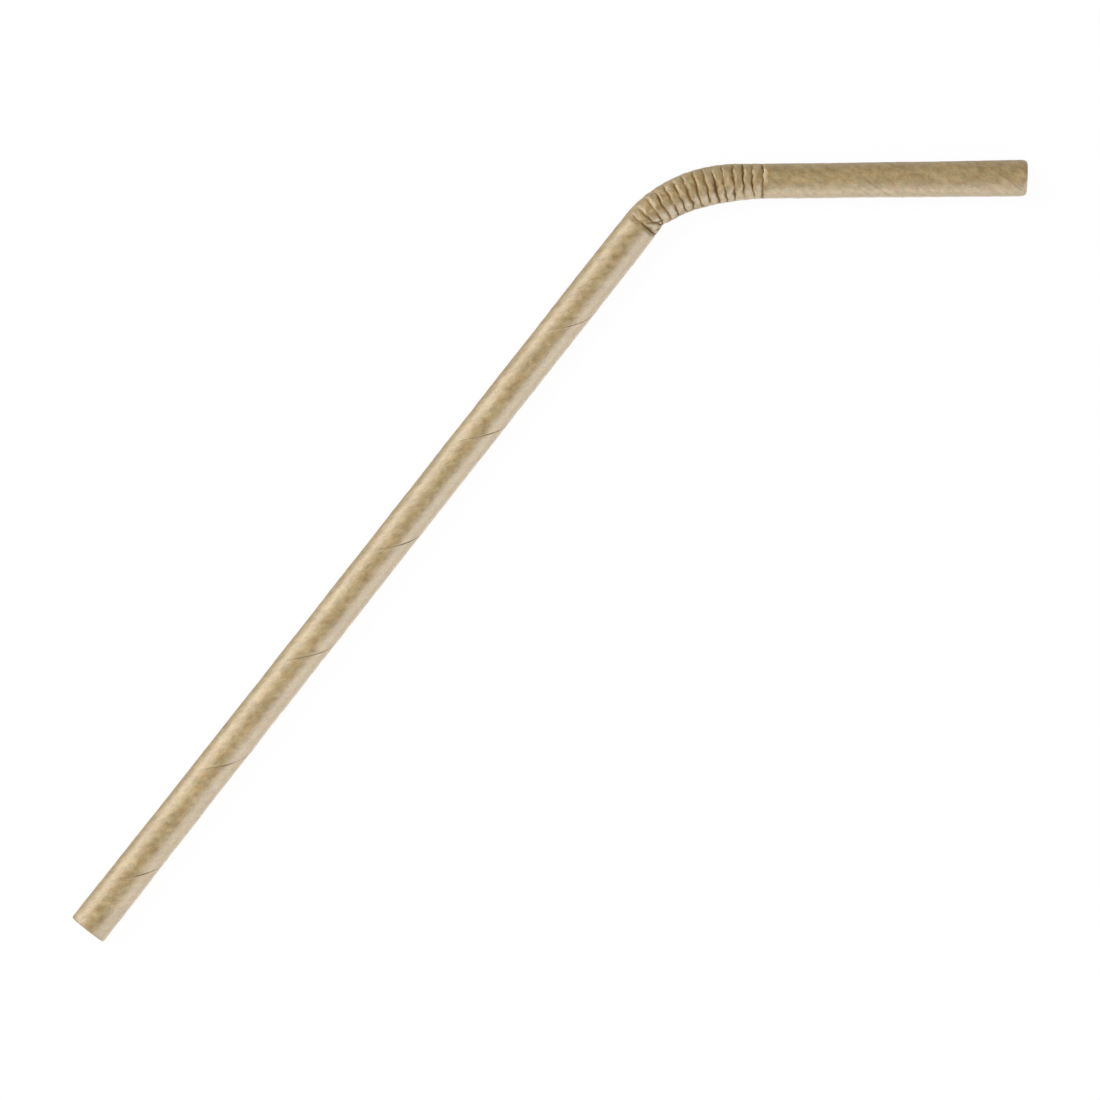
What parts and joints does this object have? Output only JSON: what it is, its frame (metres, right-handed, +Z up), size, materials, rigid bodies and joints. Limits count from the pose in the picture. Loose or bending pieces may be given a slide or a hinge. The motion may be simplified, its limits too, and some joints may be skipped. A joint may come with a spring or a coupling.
{
  "type": "bendable paper drinking straw",
  "caption": "Kraft paper drinking straw with a pleated bend: a long leg stands in the drink, a short leg leads to the mouth.",
  "frame": {"origin": "middle of the bottom of the whole straw's box, on the surface that the straw lies on", "axes": "+X from the cut end of the long leg towards the pleated bend, +Z up from the surface that the straw lies on; the short leg turns towards -Y"},
  "size_m": [0.1924, 0.0492, 0.006],
  "materials": {
    "kraft_paper": "matt uncoated brown kraft paper"
  },
  "bodies": {
    "root": {"straw": "kraft_paper"}
  },
  "joints": []
}
